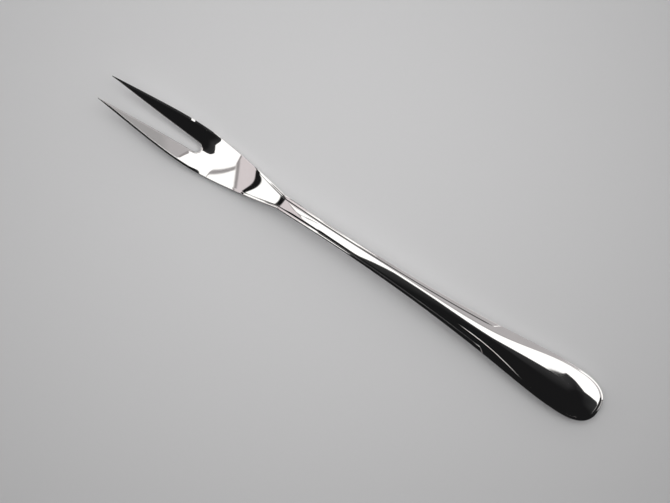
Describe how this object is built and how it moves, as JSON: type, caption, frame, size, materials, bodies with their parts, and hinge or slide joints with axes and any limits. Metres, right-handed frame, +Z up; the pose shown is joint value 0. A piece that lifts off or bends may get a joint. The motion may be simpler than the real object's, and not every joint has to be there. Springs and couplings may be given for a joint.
{
  "type": "meat fork",
  "caption": "Long two-tined meat fork in polished metal, with a dished head, slender thread-edged shank and rounded hollow handle.",
  "frame": {"origin": "on the table, under the middle of the fork's bounding box", "axes": "+X along the fork towards the tips of the tines, +Z up from the table, the fork lying on its back"},
  "size_m": [0.204, 0.0168, 0.0087],
  "materials": {
    "polished_metal": "polished",
    "handle_cement": "matte"
  },
  "bodies": {
    "root": {"fork_head": "polished_metal", "handle_front_shell": "polished_metal", "handle_back_shell": "polished_metal", "handle_cement_core": "handle_cement"}
  },
  "joints": []
}
